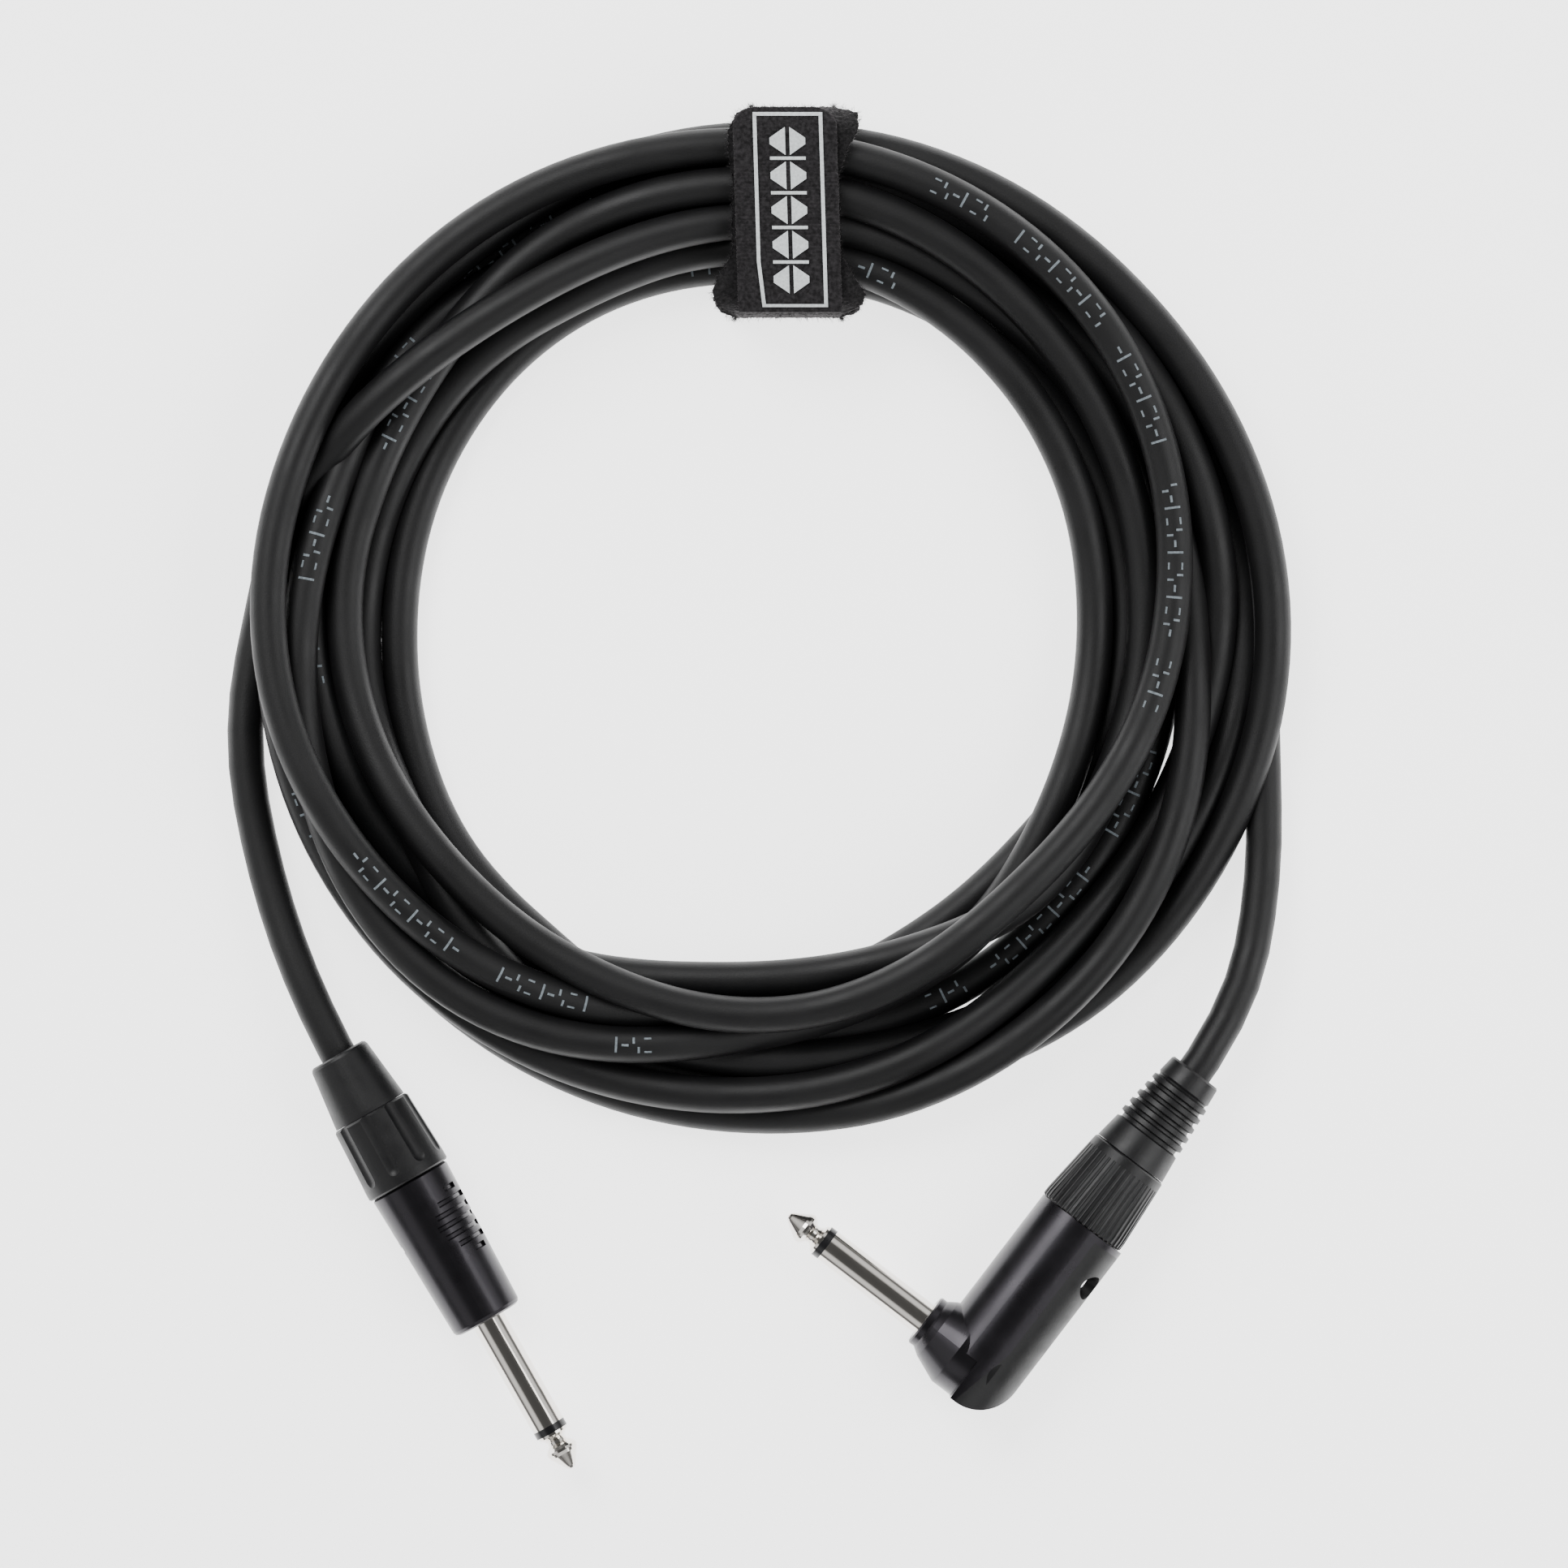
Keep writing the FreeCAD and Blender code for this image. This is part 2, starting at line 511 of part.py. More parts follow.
def plug_point(end, heading, x):
    """Point on a plug's cable axis, x from the boot's end."""
    angle = math.radians(heading)
    return end + V(math.cos(angle), math.sin(angle), 0) * x


ON_FLOOR = CABLE_D / 2
STRAIGHT_ROUTE = [
    plug_point(STRAIGHT_END, STRAIGHT_HEADING, CORD_START),
    plug_point(STRAIGHT_END, STRAIGHT_HEADING, -10.0),
    V(-93.6, -15.9, ON_FLOOR + 1.0),
    V(-98.4, 11.1, ON_FLOOR),
    V(-93.0, 37.6, ON_FLOOR),
]
ANGLE_ROUTE = [
    plug_point(ANGLE_END, ANGLE_HEADING, CORD_START),
    plug_point(ANGLE_END, ANGLE_HEADING, -10.0),
    V(93.8, -17.4, ON_FLOOR + 1.2),
    V(93.2, 11.1, ON_FLOOR),
]


# ---- build ----------------------------------------------------------------------------------
def all_pieces():
    pieces = {}
    for name, shape in straight_pieces().items():
        pieces[name] = placed(shape, STRAIGHT_END, STRAIGHT_HEADING)
    for name, shape in angle_pieces().items():
        pieces[name] = placed(shape, ANGLE_END, ANGLE_HEADING)
    pieces["tie_strap"] = tie_strap()
    pieces["tie_tab"] = tie_tab()
    pieces["tie_hook_patch"] = tie_hook_patch()
    pieces["cord_coil"] = cord_coil()
    pieces["cord_straight_tail"] = cord_tube("cord_straight_tail", STRAIGHT_ROUTE, CABLE_D)
    pieces["cord_angle_tail"] = cord_tube("cord_angle_tail", ANGLE_ROUTE, CABLE_D)
    return pieces


def main():
    os.makedirs("parts", exist_ok=True)
    for name, shape in all_pieces().items():
        if len(shape.Solids) != 1 or not shape.isValid():
            print("CHECK", name, "solids", len(shape.Solids), "valid", shape.isValid())
        shape.exportStep("parts/" + name + ".step")


main()
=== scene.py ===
import json
import math

import bpy
import numpy as np
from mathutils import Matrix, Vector


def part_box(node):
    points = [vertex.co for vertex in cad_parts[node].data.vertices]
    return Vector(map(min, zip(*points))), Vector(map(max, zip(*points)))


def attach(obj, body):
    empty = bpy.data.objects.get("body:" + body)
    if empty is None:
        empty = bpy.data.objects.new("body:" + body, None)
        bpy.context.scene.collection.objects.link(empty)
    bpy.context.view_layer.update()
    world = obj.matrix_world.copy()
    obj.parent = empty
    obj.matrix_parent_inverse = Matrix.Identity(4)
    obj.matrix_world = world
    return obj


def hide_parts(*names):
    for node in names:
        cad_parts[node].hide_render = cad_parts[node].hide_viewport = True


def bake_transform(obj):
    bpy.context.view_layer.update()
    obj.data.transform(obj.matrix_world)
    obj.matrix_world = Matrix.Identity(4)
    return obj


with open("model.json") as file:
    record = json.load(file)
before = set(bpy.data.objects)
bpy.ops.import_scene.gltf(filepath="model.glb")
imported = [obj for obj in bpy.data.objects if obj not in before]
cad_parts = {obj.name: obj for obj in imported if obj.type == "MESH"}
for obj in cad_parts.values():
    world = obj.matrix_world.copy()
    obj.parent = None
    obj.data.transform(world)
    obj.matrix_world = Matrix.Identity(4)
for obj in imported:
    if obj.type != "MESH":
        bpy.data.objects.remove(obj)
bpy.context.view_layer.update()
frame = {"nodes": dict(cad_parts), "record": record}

# Everything is in metres, in the part's frame: +Z up, +Y from the plugs to the tie.

# ---- sizes ----------------------------------------------------------------------------------
CABLE_D = 0.0068
CABLE_R = CABLE_D / 2
CORD_START = 0.0065                 # the free cord begins this far inside each boot
COIL_CENTRE = (0.0012, 0.0293)
LEVEL = 0.0059                      # height of one layer of turns nested on another
STRAIGHT_END, STRAIGHT_HEADING = Vector((-0.0796, -0.0496, 0.0083)), -60.4
ANGLE_END, ANGLE_HEADING = Vector((0.0805, -0.0529, 0.0089)), 232.6


def plug_point(end, heading, x):
    """Point on a plug's cable axis, x from its boot's end towards the contact."""
    angle = math.radians(heading)
    return end + Vector((math.cos(angle), math.sin(angle), 0)) * x


# ---- camera ---------------------------------------------------------------------------------
VIEW_CENTRE = (0.0037, 0.0009)
VIEW_WIDTH = 0.2927
CAMERA_HEIGHT = 1.6
SUBJECT_HEIGHT = 0.008              # the view's width is true at this height


def make_camera():
    data = bpy.data.cameras.new("camera")
    data.sensor_width = 36.0
    data.lens = 36.0 * (CAMERA_HEIGHT - SUBJECT_HEIGHT) / VIEW_WIDTH
    data.clip_end = 20.0
    camera = bpy.data.objects.new("camera", data)
    camera.location = (VIEW_CENTRE[0], VIEW_CENTRE[1], CAMERA_HEIGHT)
    bpy.context.collection.objects.link(camera)
    bpy.context.scene.camera = camera


make_camera()

# ---- the cable's route ----------------------------------------------------------------------
ON_FLOOR = CABLE_R
STRAIGHT_ROUTE = [
    plug_point(STRAIGHT_END, STRAIGHT_HEADING, CORD_START),
    plug_point(STRAIGHT_END, STRAIGHT_HEADING, -0.0100),
    Vector((-0.0936, -0.0159, ON_FLOOR + 0.0010)),
    Vector((-0.0984, 0.0111, ON_FLOOR)),
    Vector((-0.0930, 0.0376, ON_FLOOR)),
]
ANGLE_ROUTE = [
    plug_point(ANGLE_END, ANGLE_HEADING, CORD_START),
    plug_point(ANGLE_END, ANGLE_HEADING, -0.0130),
    Vector((0.0938, -0.0174, ON_FLOOR + 0.0012)),
    Vector((0.0932, 0.0111, ON_FLOOR)),
]

# Each turn is given at eight stations, clockwise from the tie, by its distance from the coil's
# centre in millimetres and by the layer that it starts on.
TURNS = [
    ((76.6, 77.0, 75.5, 75.9, 79.5, 75.0, 70.4, 72.3), (2, 0.5, 0, 0, 0, 0, 0, 0)),
    ((70.2, 69.4, 67.3, 63.6, 69.0, 83.4, 93.4, 94.0), (0, 0, 0, 0, 0.8, 2.1, 2.1, 2.1)),
    ((90.0, 84.8, 74.4, 67.1, 72.0, 73.8, 80.4, 84.1), (2, 2, 2, 2, 2, 1.9, 1.3, 1.0)),
    ((83.2, 75.0, 69.5, 66.8, 65.8, 77.0, 86.5, 87.2), (2, 1.2, 1, 1, 0.8, 0.4, 0.6, 0.6)),
    ((86.6, 86.4, 84.2, 81.2, 86.5, 91.5, 91.8, 90.4), (1, 1, 0.7, 0.6, 1, 1, 1, 1.2)),
    ((91.2, 91.6, 93.8, 91.2, 84.0, 87.6, 85.5, 83.0), (1.1, 1.1, 1.1, 0.5, 0, 0, 0, 0)),
    ((79.8, 85.0, 87.0, 84.5, 78.5, 77.5, 77.0, 76.0), (1, 0, 0, 0, 0.9, 1.0, 0.3, 0.5)),
    ((73.2, 66.0, 60.9, 64.7, 75.3, 90.4, 88.0, 86.0), (1, 1, 0.6, 0.8, 0.9, 1.8, 1.0, 0.6)),
    ((77.4, 80.0, 80.8, 87.3, 90.6, 92.7, 88.6, 90.0), (0.3, 0.3, 0.6, 1.2, 0.4, 0, 0, 0)),
]
STATION_STEP = 45
TIE_ANGLE = 270                     # clockwise from +X, seen from above
FIRST_TURN_IN = [(189, 94.2, 0.1), (197, 91.0, 0.8), (207, 86.0, 2.0), (225, 79.3, 2.6)]
LAST_TURN_OUT = [(270, 86.3, 0), (315, 91.6, 0), (350, 93.6, 0)]

# The coil's inner and outer outline, by angle, in millimetres from its centre.
OUTLINE_AT = (0, 45, 90, 135, 180, 225, 270, 315, 360)
INNER_EDGE = (56.6, 59.0, 61.2, 68.2, 66.0, 67.5, 60.2, 61.8, 56.6)
OUTER_EDGE = (98.0, 95.0, 94.0, 95.2, 97.4, 97.4, 96.4, 95.2, 98.0)


def stations():
    """Angle, radius and level of every station along the whole coil, in order."""
    rows = list(FIRST_TURN_IN)
    for turn, (radii, levels) in enumerate(TURNS):
        for index, (radius, level) in enumerate(zip(radii, levels)):
            rows.append((TIE_ANGLE + 360 * turn + STATION_STEP * index, radius, level))
    done = 360 * len(TURNS)
    rows += [(done + angle, radius, level) for angle, radius, level in LAST_TURN_OUT]
    return np.array(rows, float).T


def through(at, where, values):
    """Smooth curve through the stations' values, without overshoot between far stations."""
    slope = np.gradient(values, where)
    index = np.clip(np.searchsorted(where, at, side="right") - 1, 0, len(where) - 2)
    step = where[index + 1] - where[index]
    s = (at - where[index]) / step
    return ((1 + 2 * s) * (1 - s) ** 2 * values[index] + s * (1 - s) ** 2 * step * slope[index]
            + s * s * (3 - 2 * s) * values[index + 1] + s * s * (s - 1) * step * slope[index + 1])


POINTS_PER_TURN = 120
EVERY = 3                           # every third settled point is a control point
SAME_STRETCH = POINTS_PER_TURN // 6
WATCHED = 1.7 * CABLE_D             # pairs of points nearer than this are watched
UPPER = CABLE_R + 1.15 * LEVEL      # turns laid higher than this hold to their lanes more
ROUNDS = 260
LANE_PULL = (0.05, 0.14)            # towards a turn's lane each round: low turns, upper turns
LATE_PULL = 0.4                     # of that pull, once the turns have spread
SINK = (0.00006, 0.00002)           # metres down each round, early and late
TIE_WINDOW = (0.012, 0.06)          # half width about the tie's middle, and the least Y
SLACK = 0.0002
TIE_LOW, TIE_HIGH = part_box("tie_strap")
TIE_X = (TIE_LOW[0] + TIE_HIGH[0]) / 2
STRAP = 0.0012


def wound_points():
    """The turns laid out by the stations, on their layers, before they settle."""
    angles, radii, levels = stations()
    count = int((angles[-1] - angles[0]) / 360 * POINTS_PER_TURN)
    at = np.linspace(angles[0], angles[-1], count)
    radius, level = through(at, angles, radii) / 1000, np.maximum(through(at, angles, levels), 0)
    turn = np.radians(at)
    points = np.stack([COIL_CENTRE[0] + radius * np.cos(turn), COIL_CENTRE[1] - radius * np.sin(turn),
                       CABLE_R + LEVEL * level], 1)
    return at, points


def close_pairs(points):
    """Pairs of points of different stretches that are near each other."""
    index = np.arange(len(points))
    gaps = points[:, None] - points[None]
    close = (gaps ** 2).sum(2) < WATCHED ** 2
    return np.nonzero(close & (index[None] - index[:, None] > SAME_STRETCH))


def settle(at, laid):
    """Presses overlapping stretches apart, and lets them sink on each other, the floor and the tie."""
    points, count = laid.copy(), len(laid)
    in_tie = (np.abs(points[:, 0] - TIE_X) < TIE_WINDOW[0]) & (points[:, 1] > TIE_WINDOW[1])
    floor = np.where(in_tie, CABLE_R + STRAP + SLACK, CABLE_R)
    ceiling = np.where(in_tie, TIE_HIGH[2] - STRAP - CABLE_R, 1.0)
    pull = np.where(laid[:, 2] > UPPER, LANE_PULL[1], LANE_PULL[0])
    turn = np.radians(at)
    outward = np.stack([np.cos(turn), -np.sin(turn)], 1)
    nearest = np.interp(at % 360, OUTLINE_AT, INNER_EDGE) / 1000 + CABLE_R
    farthest = np.interp(at % 360, OUTLINE_AT, OUTER_EDGE) / 1000 - CABLE_R
    for step in range(ROUNDS):
        if step % 8 == 0:
            low, high = close_pairs(points)
        between = points[high] - points[low]
        apart = np.maximum(np.linalg.norm(between, axis=1), 1e-9)
        share = np.maximum(CABLE_D - apart, 0) / apart / 2
        push, hits = np.zeros_like(points), np.zeros(count)
        for rows, sign in ((high, 1), (low, -1)):
            np.add.at(push, rows, sign * between * share[:, None])
            np.add.at(hits, rows, share > 0)
        points += push / np.maximum(hits * 0.6, 1)[:, None]
        held = pull * (1.0 if step < 0.6 * ROUNDS else LATE_PULL)
        points[:, :2] += held[:, None] * (laid[:, :2] - points[:, :2])
        points[:, 2] -= SINK[0] if step < 0.85 * ROUNDS else SINK[1]
        moved = points - laid
        for _ in range(3):
            moved[1:-1] += 0.5 * ((moved[:-2] + moved[2:]) / 2 - moved[1:-1])
        points = laid + moved
        points[:, 2] = np.clip(points[:, 2], floor, ceiling)
        side = STRAP * 2 + CABLE_R
        points[in_tie, 1] = np.clip(points[in_tie, 1], TIE_LOW[1] + side, TIE_HIGH[1] - side)
        radius = ((points[:, :2] - COIL_CENTRE) * outward).sum(1)
        points[:, :2] += outward * (np.clip(radius, nearest, farthest) - radius)[:, None]
    return points


def make_cable():
    coil = [Vector(point) for point in settle(*wound_points())[::EVERY]]
    route = STRAIGHT_ROUTE + coil + ANGLE_ROUTE[::-1]
    curve = bpy.data.curves.new("cable", "CURVE")
    curve.dimensions = "3D"
    spline = curve.splines.new("NURBS")
    spline.points.add(len(route) - 1)
    for point, place in zip(spline.points, route):
        point.co = (*place, 1.0)
        point.radius = CABLE_R
    spline.order_u = 3
    spline.use_endpoint_u = True
    spline.use_smooth = True
    curve.resolution_u = 4
    cable = bpy.data.objects.new("cable", curve)
    bpy.context.collection.objects.link(cable)
    return cable


def centreline(cable):
    """Points read from the cable's own line."""
    line = bpy.data.meshes.new_from_object(cable)
    points = np.array([vertex.co[:] for vertex in line.vertices])
    bpy.data.meshes.remove(line)
    return points


cable = make_cable()
CABLE_LINE = centreline(cable)
cable.data.bevel_depth = 1.0         # times each point's radius
cable.data.bevel_resolution = 8
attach(cable, "cable")
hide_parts("cord_coil", "cord_straight_tail", "cord_angle_tail")


# ---- materials ------------------------------------------------------------------------------
def new_material(name, color, roughness, metallic=0.0):
    material = bpy.data.materials.new(name)
    material.use_nodes = True
    shader = material.node_tree.nodes["Principled BSDF"]
    shader.inputs["Base Color"].default_value = (*color, 1.0)
    shader.inputs["Roughness"].default_value = roughness
    shader.inputs["Metallic"].default_value = metallic
    return material, material.node_tree, shader


def noise_node(tree, scale, detail=3.0, stretch=(1, 1, 1), turn=0.0):
    """Noise in object space, drawn out by stretch after turning about Z."""
    place = tree.nodes.new("ShaderNodeTexCoord")
    mapping = tree.nodes.new("ShaderNodeMapping")
    mapping.vector_type = "TEXTURE"
    mapping.inputs["Scale"].default_value = stretch
    mapping.inputs["Rotation"].default_value = (0, 0, turn)
    noise = tree.nodes.new("ShaderNodeTexNoise")
    noise.inputs["Scale"].default_value = scale
    noise.inputs["Detail"].default_value = detail
    tree.links.new(place.outputs["Object"], mapping.inputs["Vector"])
    tree.links.new(mapping.outputs["Vector"], noise.inputs["Vector"])
    return noise


def add_bump(tree, shader, noise, strength, distance):
    bump = tree.nodes.new("ShaderNodeBump")
    bump.inputs["Strength"].default_value = strength
    bump.inputs["Distance"].default_value = distance
    tree.links.new(noise.outputs["Fac"], bump.inputs["Height"])
    tree.links.new(bump.outputs["Normal"], shader.inputs["Normal"])


def vary(tree, shader, socket, noise, low, high):
    """Lets a shader value wander between two limits with the noise."""
    ranges = tree.nodes.new("ShaderNodeMapRange")
    ranges.inputs["From Min"].default_value = 0.3
    ranges.inputs["From Max"].default_value = 0.7
    ranges.inputs["To Min"].default_value = low
    ranges.inputs["To Max"].default_value = high
    tree.links.new(noise.outputs["Fac"], ranges.inputs["Value"])
    tree.links.new(ranges.outputs["Result"], shader.inputs[socket])


def vary_color(tree, shader, noise, dark, light):
    ramp = tree.nodes.new("ShaderNodeValToRGB")
    ramp.color_ramp.elements[0].position = 0.35
    ramp.color_ramp.elements[1].position = 0.7
    ramp.color_ramp.elements[0].color = (*dark, 1.0)
    ramp.color_ramp.elements[1].color = (*light, 1.0)
    tree.links.new(noise.outputs["Fac"], ramp.inputs["Fac"])
    tree.links.new(ramp.outputs["Color"], shader.inputs["Base Color"])


def jacket():
    material, tree, shader = new_material("jacket", (0.010, 0.010, 0.011), 0.5)
    shader.inputs["Specular IOR Level"].default_value = 0.34
    grain = noise_node(tree, 3200, 2.0)
    add_bump(tree, shader, grain, 0.35, 0.00008)
    vary(tree, shader, "Roughness", noise_node(tree, 90, 4.0), 0.44, 0.58)
    vary_color(tree, shader, noise_node(tree, 60, 3.0), (0.0045, 0.0045, 0.0048),
               (0.0075, 0.0075, 0.008))
    return material


def moulded(name, color, roughness, bump, specular=0.5):
    """Black moulded rubber or plastic with a fine grain."""
    material, tree, shader = new_material(name, color, roughness)
    shader.inputs["Specular IOR Level"].default_value = specular
    add_bump(tree, shader, noise_node(tree, 2400, 3.0), bump, 0.00008)
    vary(tree, shader, "Roughness", noise_node(tree, 300, 3.0), roughness - 0.05, roughness + 0.06)
    return material


def coated():
    """Satin black coat with a faint violet sheen."""
    material, tree, shader = new_material("shell_black", (0.004, 0.0038, 0.0043), 0.3)
    shader.inputs["Specular Tint"].default_value = (0.94, 0.88, 1.0, 1.0)
    shader.inputs["Specular IOR Level"].default_value = 0.4
    shader.inputs["Coat Weight"].default_value = 0.15
    shader.inputs["Coat Roughness"].default_value = 0.12
    add_bump(tree, shader, noise_node(tree, 1500, 4.0), 0.12, 0.00006)
    vary(tree, shader, "Roughness", noise_node(tree, 160, 3.0), 0.25, 0.36)
    return material


def plated(name, color, roughness, turn):
    """Polished plate with faint marks drawn out along its axis."""
    material, tree, shader = new_material(name, color, roughness, 1.0)
    marks = noise_node(tree, 900, 3.0, (6, 1, 1), turn)
    vary(tree, shader, "Roughness", marks, roughness * 0.7, roughness * 1.6)
    add_bump(tree, shader, noise_node(tree, 400, 2.0), 0.05, 0.00004)
    return material


def woven(name, dark, light, scale):
    material, tree, shader = new_material(name, dark, 0.95)
    shader.inputs["Specular IOR Level"].default_value = 0.2
    shader.inputs["Sheen Weight"].default_value = 0.35
    shader.inputs["Sheen Roughness"].default_value = 0.5
    shader.inputs["Sheen Tint"].default_value = (0.6, 0.57, 0.58, 1.0)
    fuzz = noise_node(tree, scale, 6.0)
    vary_color(tree, shader, fuzz, dark, light)
    add_bump(tree, shader, fuzz, 0.8, 0.0003)
    return material


def printed(name, color, wear):
    """Thin print that the surface under it shows through in places."""
    material, tree, shader = new_material(name, color, 0.75)
    vary_color(tree, shader, noise_node(tree, 2200, 4.0), [wear * part for part in color], color)
    return material


MATERIALS = {
    "jacket": jacket(),
    "boot_rubber": moulded("boot_rubber", (0.006, 0.006, 0.0066), 0.42, 0.2, 0.38),
    "nut_plastic": moulded("nut_plastic", (0.005, 0.005, 0.0056), 0.42, 0.25, 0.38),
    "shell_black": coated(),
    "cover_plastic": moulded("cover_plastic", (0.0045, 0.0045, 0.005), 0.4, 0.2, 0.36),
    "screw_steel": plated("screw_steel", (0.72, 0.72, 0.74), 0.22, 0.0),
    "nickel": plated("nickel", (0.80, 0.765, 0.715), 0.085, math.radians(STRAIGHT_HEADING)),
    "black_insulator": moulded("black_insulator", (0.008, 0.008, 0.009), 0.25, 0.05),
    "white_insulator": moulded("white_insulator", (0.78, 0.77, 0.72), 0.45, 0.1),
    "tinned_steel": plated("tinned_steel", (0.66, 0.66, 0.64), 0.35, 0.0),
    "core_insulation": moulded("core_insulation", (0.74, 0.71, 0.64), 0.45, 0.1),
    "copper_screen": plated("copper_screen", (0.72, 0.36, 0.20), 0.35, 0.0),
    "tie_fabric": woven("tie_fabric", (0.006, 0.0055, 0.006), (0.030, 0.028, 0.030), 1500),
    "tie_hook": woven("tie_hook", (0.008, 0.0075, 0.008), (0.035, 0.032, 0.035), 900),
}
JACKET_PRINT = printed("jacket_print", (0.24, 0.28, 0.31), 0.55)
LABEL_PRINT = printed("label_print", (0.80, 0.84, 0.85), 0.75)
PILE = woven("pile", (0.004, 0.004, 0.0042), (0.022, 0.021, 0.022), 1800)

cable.data.materials.append(MATERIALS["jacket"])
for entry in frame["record"]["subparts"]:
    node = frame["nodes"][entry["node"]]
    node.data.materials.clear()
    node.data.materials.append(MATERIALS[entry["material_slot"]])


def new_piece(name, vertices, faces, material):
    mesh = bpy.data.meshes.new(name)
    mesh.from_pydata([tuple(vertex) for vertex in vertices], [], faces)
    mesh.materials.append(material)
    for polygon in mesh.polygons:
        polygon.use_smooth = True
    piece = bpy.data.objects.new(name, mesh)
    bpy.context.collection.objects.link(piece)
    return piece


# ---- marks printed on the jacket ------------------------------------------------------------
# Each run of marks: angle and radius of its middle on the coil in millimetres, its length in
# millimetres, and how far it leans from the top of the cable towards the coil's centre, in degrees.
MARK_RUNS = [
    (250.6, 88.4, 11, 0), (234.4, 87.3, 27, 0), (216.9, 85.4, 11, 0), (212.1, 76.6, 17, 0),
    (191.4, 82.8, 17, 0), (177.4, 82.7, 12, 0), (159.4, 93.1, 11, 0), (143.6, 88.5, 29, 0),
    (123.7, 82.6, 20, 0), (109.4, 78.7, 10, 0), (63.8, 77.9, 10, 0), (46.0, 76.2, 29, 0),
    (24.2, 76.2, 20, 0), (9.8, 74.6, 11, 0), (350.8, 78.6, 30, 0), (328.8, 84.4, 21, 0),
    (309.8, 88.5, 25, 0), (294.1, 90.7, 13, 0), (259.3, 67.9, 9, 0), (286.9, 68.7, 9, 0),
]
MARK_HEIGHT = 0.0030
MARK_PITCH = 0.0021
PRINT_LIFT = 0.00004                # marks stand this far off the jacket
NEARBY = 0.0008                     # course of the cable is taken over this far each way
TOP_DEPTH = 0.002                   # stretches this little below the highest count as the top
# One mark's strokes: where it starts and ends along the cable and across it, in shares of the
# pitch and of the height.
MARK_SHAPES = [
    [(0.0, 0.2, -0.5, 0.5)],
    [(0.0, 0.62, 0.36, 0.48), (0.0, 0.62, -0.48, -0.36)],
    [(0.0, 0.2, -0.5, -0.1), (0.45, 0.65, 0.1, 0.5)],
    [(0.0, 0.62, -0.07, 0.07)],
]


def strand_at(angle, radius):
    """Index of the highest stretch of cable at a place on the coil."""
    turn = math.radians(angle)
    spot = np.array([COIL_CENTRE[0] + radius / 1000 * math.cos(turn),
                     COIL_CENTRE[1] - radius / 1000 * math.sin(turn)])
    away = np.linalg.norm(CABLE_LINE[:, :2] - spot, axis=1)
    height = np.where(away < CABLE_R, CABLE_LINE[:, 2], -1.0)
    top = np.nonzero(height > height.max() - TOP_DEPTH)[0]
    return top[np.argmin(away[top])]


def make_marks():
    gaps = np.linalg.norm(np.diff(CABLE_LINE, axis=0), axis=1)
    along = np.concatenate([[0], np.cumsum(gaps)])
    vertices, faces = [], []
    for number, (angle, radius, length, lean) in enumerate(MARK_RUNS):
        middle = along[strand_at(angle, radius)]
        count = int(length / 1000 / MARK_PITCH)
        for mark in range(count):
            start = middle + (mark - count / 2) * MARK_PITCH
            for s0, s1, h0, h1 in MARK_SHAPES[(mark + number) % len(MARK_SHAPES)]:
                first = len(vertices)
                for s in np.linspace(start + s0 * MARK_PITCH, start + s1 * MARK_PITCH, 3):
                    here, ahead, behind = (np.array([np.interp(s + step, along, CABLE_LINE[:, k])
                                                     for k in range(3)])
                                           for step in (0, NEARBY, -NEARBY))
                    course = (ahead - behind) / np.linalg.norm(ahead - behind)
                    across = np.cross(course, (0, 0, 1))
                    across /= np.linalg.norm(across)
                    up = np.cross(across, course)
                    for h in np.linspace(h0, h1, 5):
                        around = h * MARK_HEIGHT / CABLE_R + math.radians(lean)
                        out = math.cos(around) * up + math.sin(around) * across
                        vertices.append(here + out * (CABLE_R + PRINT_LIFT))
                for row in range(2):
                    for column in range(4):
                        corner = first + 5 * row + column
                        faces.append((corner, corner + 1, corner + 6, corner + 5))
    marks = new_piece("jacket_marks", vertices, faces, JACKET_PRINT)
    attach(marks, "cable")


make_marks()

# ---- the tie --------------------------------------------------------------------------------
TAB_LOW, TAB_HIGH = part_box("tie_tab")
TAB_TOP = TAB_HIGH[2]
TAB_THICK = 0.0010
TAB_START, TAB_END = 0.0882, 0.1262
TAB_HALF, TAB_CORNER = 0.0096, 0.0038
TAB_SHOULDERS = (0.0925, 0.1205)    # beyond these the tab bends down
TAB_BENDS = (60, 45)                # metres down for each square metre beyond each shoulder
TAB_SKEW = 0.030                    # metres to the left for each metre along it
TAB_MIDDLE, TAB_SHIFT = 0.1070, 0.0004
TAB_FRAY, TAB_UNEVEN = 0.00006, 0.00003   # spread of its side edges and of its surface
RIM_SHARE, RIM_DROP = 0.05, 0.00025     # its rim is this share of the half width, and lower
RIB_PITCH, NUB_PITCH = 0.00068, 0.00046
RIBS = (0.0974, 0.1172)
RIB_EASE = 0.0012
RIB_HEIGHT = 0.00024

# The printed frame on the tab, across from the tab's middle line and along Y.
FRAME_SIDES = (-0.0059, 0.0070)
FRAME_ENDS = (0.0891, 0.1252)
FRAME_LINE = 0.00068
FRAME_TUCK, TUCK_END = 0.0008, 0.0975   # the frame's lower left corner is drawn in
LABEL_LIFT = 0.00032
# The row of shapes in the frame: two facing wedges each, with a bar between one and the next.
SHAPES = 5
SHAPE_START, SHAPE_PITCH = 0.0942, 0.0064
SHAPE_MIDDLE, SHAPE_HALF, SHAPE_REACH = 0.0004, 0.0033, 0.0026
SHAPE_GAP, SHAPE_TIP, BAR_HALF = 0.0004, 0.0006, 0.0003


